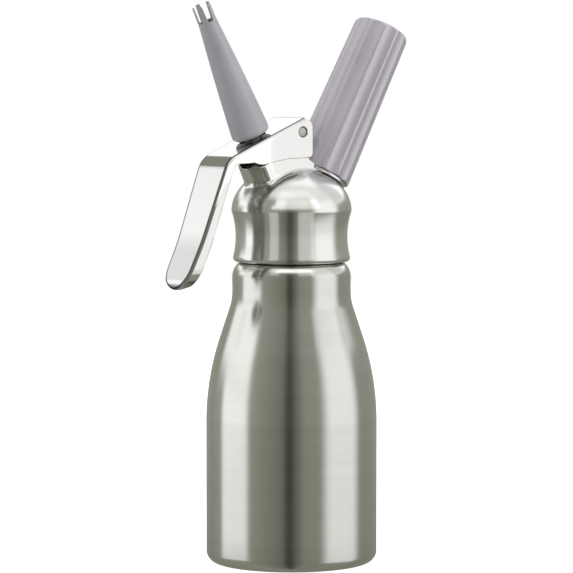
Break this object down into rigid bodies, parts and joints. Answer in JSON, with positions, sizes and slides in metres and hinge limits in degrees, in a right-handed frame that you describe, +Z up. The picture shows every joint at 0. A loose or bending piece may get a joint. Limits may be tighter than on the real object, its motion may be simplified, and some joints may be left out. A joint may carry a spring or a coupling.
{
  "type": "whipped cream dispenser",
  "caption": "Upright steel cream whipper with screwed head, pressed lever on a pivot, spring valve with pronged nozzle, and fluted screw-on gas charger holder.",
  "frame": {"origin": "centre of the bottle's flat base", "axes": "+Z up along the bottle's axis; -X towards the lever and nozzle, +X towards the charger holder"},
  "size_m": [0.1292, 0.08, 0.2622],
  "materials": {
    "bottle_steel": "brushed round the bottle",
    "head_metal": "satin, finely turned",
    "lever_polished": "mirror polished sheet",
    "pin_steel": "turned and polished",
    "spring_steel": "drawn wire",
    "spigot_metal": "turned",
    "charger_steel": "zinc plated",
    "carrier_brass": "turned",
    "nozzle_plastic": "satin moulded",
    "holder_plastic": "satin moulded",
    "seal_white": "silicone",
    "rubber_dark": "matte"
  },
  "bodies": {
    "bottle": {"bottle": "bottle_steel", "neck_ring": "bottle_steel"},
    "head_seal": {"head_seal": "seal_white"},
    "head": {"head": "head_metal", "lever_pin": "pin_steel", "valve_spring": "spring_steel", "charger_spigot": "spigot_metal", "pin_carrier": "carrier_brass", "carrier_o_ring": "rubber_dark", "piercing_pin": "pin_steel", "charger_seal": "seal_white", "check_ball": "pin_steel", "check_spring": "spring_steel"},
    "lever": {"lever": "lever_polished"},
    "valve": {"valve_stem": "pin_steel", "valve_seal": "seal_white", "stem_o_ring": "rubber_dark", "stem_collar": "pin_steel"},
    "nozzle_seal": {"nozzle_seal": "rubber_dark"},
    "nozzle": {"nozzle": "nozzle_plastic"},
    "charger": {"charger": "charger_steel", "charger_cap": "spring_steel"},
    "holder": {"charger_holder": "holder_plastic", "holder_insert": "spigot_metal"}
  },
  "joints": [
    {"name": "head_lift", "type": "slide", "parent": "bottle", "child": "head_seal", "axis": [0, 0, 1], "range_m": [0, 0.0181]},
    {"name": "head_turn", "type": "hinge", "parent": "head_seal", "child": "head", "pos_m": [0, 0, 0.15199], "axis": [0, 0, 1], "range_deg": [0, 1620]},
    {"name": "lever_pivot", "type": "hinge", "parent": "head", "child": "lever", "pos_m": [-0.0027, 0, 0.2019], "axis": [0, -1, 0], "range_deg": [0, 8], "stiffness_Nm_per_rad": 1, "springref_deg": -3.44},
    {"name": "valve_slide", "type": "slide", "parent": "head", "child": "valve", "axis": [0.4226, 0, -0.9063], "range_m": [0, 0.00272], "deforming": ["valve_spring"]},
    {"name": "nozzle_slide", "type": "slide", "parent": "valve", "child": "nozzle_seal", "axis": [-0.4226, 0, 0.9063], "range_m": [0, 0.01005]},
    {"name": "nozzle_turn", "type": "hinge", "parent": "nozzle_seal", "child": "nozzle", "pos_m": [0, 0, 0.15199], "axis": [-0.4226, 0, 0.9063], "range_deg": [0, 2880]},
    {"name": "charger_slide", "type": "slide", "parent": "head", "child": "charger", "axis": [0.4726, 0, 0.8813], "range_m": [0, 0.01205]},
    {"name": "holder_turn", "type": "hinge", "parent": "charger", "child": "holder", "pos_m": [0, 0, 0.15199], "axis": [0.4726, 0, 0.8813], "range_deg": [0, 2880]}
  ],
  "couplings": [
    {"joint": "head_lift", "follows": "head_turn", "m_per_rad": 0.00063662},
    {"joint": "valve_slide", "follows": "lever_pivot", "m_per_rad": 0.018647},
    {"joint": "nozzle_slide", "follows": "nozzle_turn", "m_per_rad": 0.00019894},
    {"joint": "charger_slide", "follows": "holder_turn", "m_per_rad": 0.00023873}
  ]
}
